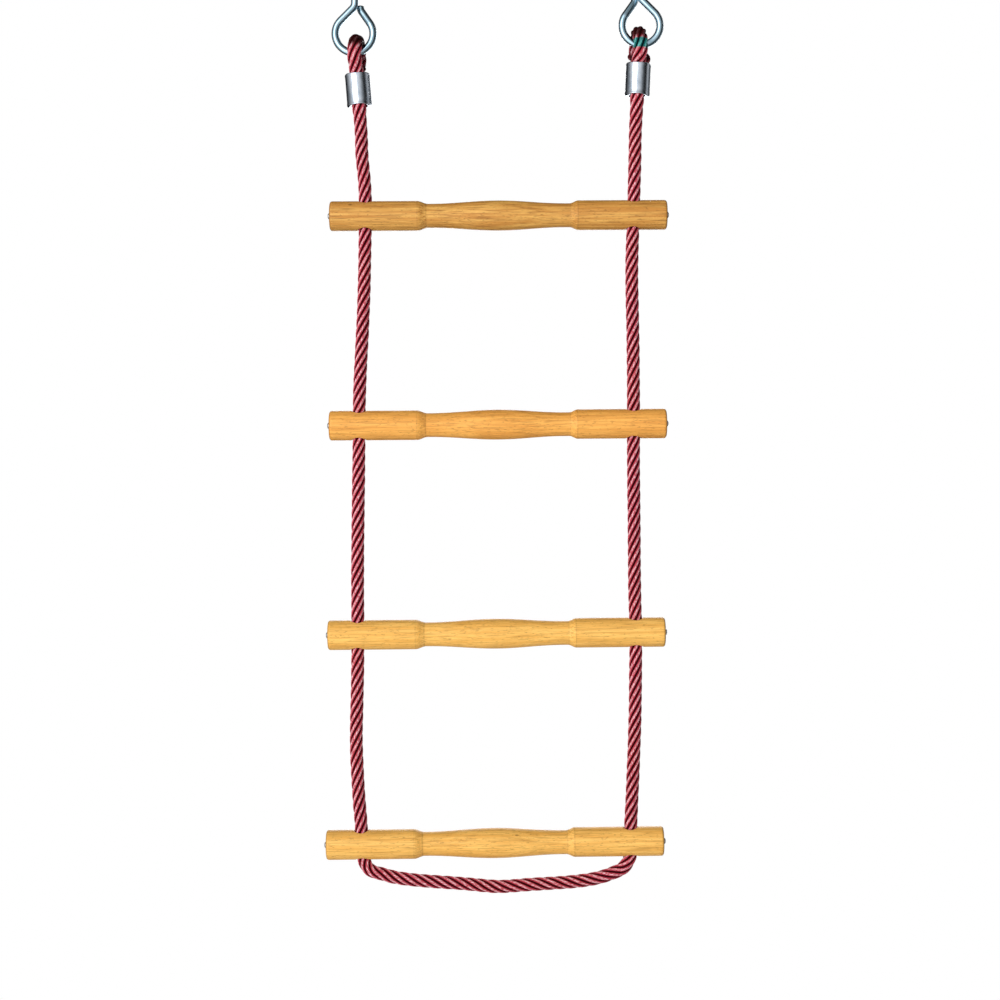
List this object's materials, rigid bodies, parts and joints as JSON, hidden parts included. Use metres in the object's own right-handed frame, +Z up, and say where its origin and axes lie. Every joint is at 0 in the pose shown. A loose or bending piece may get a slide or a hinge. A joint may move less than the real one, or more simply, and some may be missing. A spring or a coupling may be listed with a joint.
{
  "type": "rope ladder",
  "caption": "Hanging rope ladder with turned wooden rungs on a red stranded rope, looped through wire hooks and closed by pressed sleeves.",
  "frame": {"origin": "centre of the level bar that both hooks hang on, midway between the two ropes", "axes": "+X along the rungs to the right seen from the front, +Y to the back, +Z up; the ladder hangs down -Z"},
  "size_m": [0.4115, 0.0635, 1.1587],
  "materials": {
    "rope_red": "six-strand laid rope, red synthetic fibre with a slight sheen",
    "rung_wood": "turned beech, clear matt lacquer",
    "hook_zinc": "zinc-plated bright bar with a bluish tint",
    "sleeve_aluminium": "pressed aluminium with die marks",
    "screw_steel": "zinc-plated screw, cross recess"
  },
  "bodies": {
    "hooks": {"hook_left": "hook_zinc", "hook_right": "hook_zinc"},
    "top_ropes": {"rope_loop_left": "rope_red", "rope_loop_right": "rope_red", "sleeve_left": "sleeve_aluminium", "sleeve_right": "sleeve_aluminium", "rope_top_left": "rope_red", "rope_top_right": "rope_red"},
    "rung_1_body": {"rung_1": "rung_wood", "rope_in_rung_1_left": "rope_red", "rope_in_rung_1_right": "rope_red", "screw_1_left": "screw_steel", "screw_1_right": "screw_steel"},
    "bay_1_ropes": {"rope_bay_1_left": "rope_red", "rope_bay_1_right": "rope_red"},
    "rung_2_body": {"rung_2": "rung_wood", "rope_in_rung_2_left": "rope_red", "rope_in_rung_2_right": "rope_red", "screw_2_left": "screw_steel", "screw_2_right": "screw_steel"},
    "bay_2_ropes": {"rope_bay_2_left": "rope_red", "rope_bay_2_right": "rope_red"},
    "rung_3_body": {"rung_3": "rung_wood", "rope_in_rung_3_left": "rope_red", "rope_in_rung_3_right": "rope_red", "screw_3_left": "screw_steel", "screw_3_right": "screw_steel"},
    "bay_3_ropes": {"rope_bay_3_left": "rope_red", "rope_bay_3_right": "rope_red"},
    "rung_4_body": {"rung_4": "rung_wood", "rope_in_rung_4_left": "rope_red", "rope_in_rung_4_right": "rope_red", "screw_4_left": "screw_steel", "screw_4_right": "screw_steel"},
    "bottom_rope": {"rope_under_rungs": "rope_red"}
  },
  "joints": [
    {"name": "top_swing", "type": "hinge", "parent": "hooks", "child": "top_ropes", "pos_m": [0, 0, -0.1212], "axis": [0.9996, 0, 0.0286], "range_deg": [-75, 75]},
    {"name": "rung_1_tilt", "type": "hinge", "parent": "top_ropes", "child": "rung_1_body", "pos_m": [0.0021, 0, -0.27549], "axis": [-1, 0, -0.0042], "range_deg": [-75, 75]},
    {"name": "bay_1_fold", "type": "hinge", "parent": "rung_1_body", "child": "bay_1_ropes", "pos_m": [0.00105, 0, -0.36549], "axis": [-1, 0, -0.0042], "range_deg": [-75, 75]},
    {"name": "rung_2_tilt", "type": "hinge", "parent": "bay_1_ropes", "child": "rung_2_body", "pos_m": [-0.0012, 0, -0.52511], "axis": [1, 0, 0.007], "range_deg": [-75, 75]},
    {"name": "bay_2_fold", "type": "hinge", "parent": "rung_2_body", "child": "bay_2_ropes", "pos_m": [-0.00173, 0, -0.61511], "axis": [1, 0, 0.007], "range_deg": [-75, 75]},
    {"name": "rung_3_tilt", "type": "hinge", "parent": "bay_2_ropes", "child": "rung_3_body", "pos_m": [-0.00162, 0, -0.7746], "axis": [-0.9999, 0, -0.0102], "range_deg": [-75, 75]},
    {"name": "bay_3_fold", "type": "hinge", "parent": "rung_3_body", "child": "bay_3_ropes", "pos_m": [-0.00118, 0, -0.8646], "axis": [-0.9999, 0, -0.0101], "range_deg": [-75, 75]},
    {"name": "rung_4_tilt", "type": "hinge", "parent": "bay_3_ropes", "child": "rung_4_body", "pos_m": [-0.00235, 0, -1.02448], "axis": [0.9999, 0, 0.0122], "range_deg": [-75, 75]},
    {"name": "bottom_rope_swing", "type": "hinge", "parent": "rung_4_body", "child": "bottom_rope", "pos_m": [-0.0007, 0, -1.0961], "axis": [0.9999, 0, 0.0123], "range_deg": [-60, 60]}
  ]
}
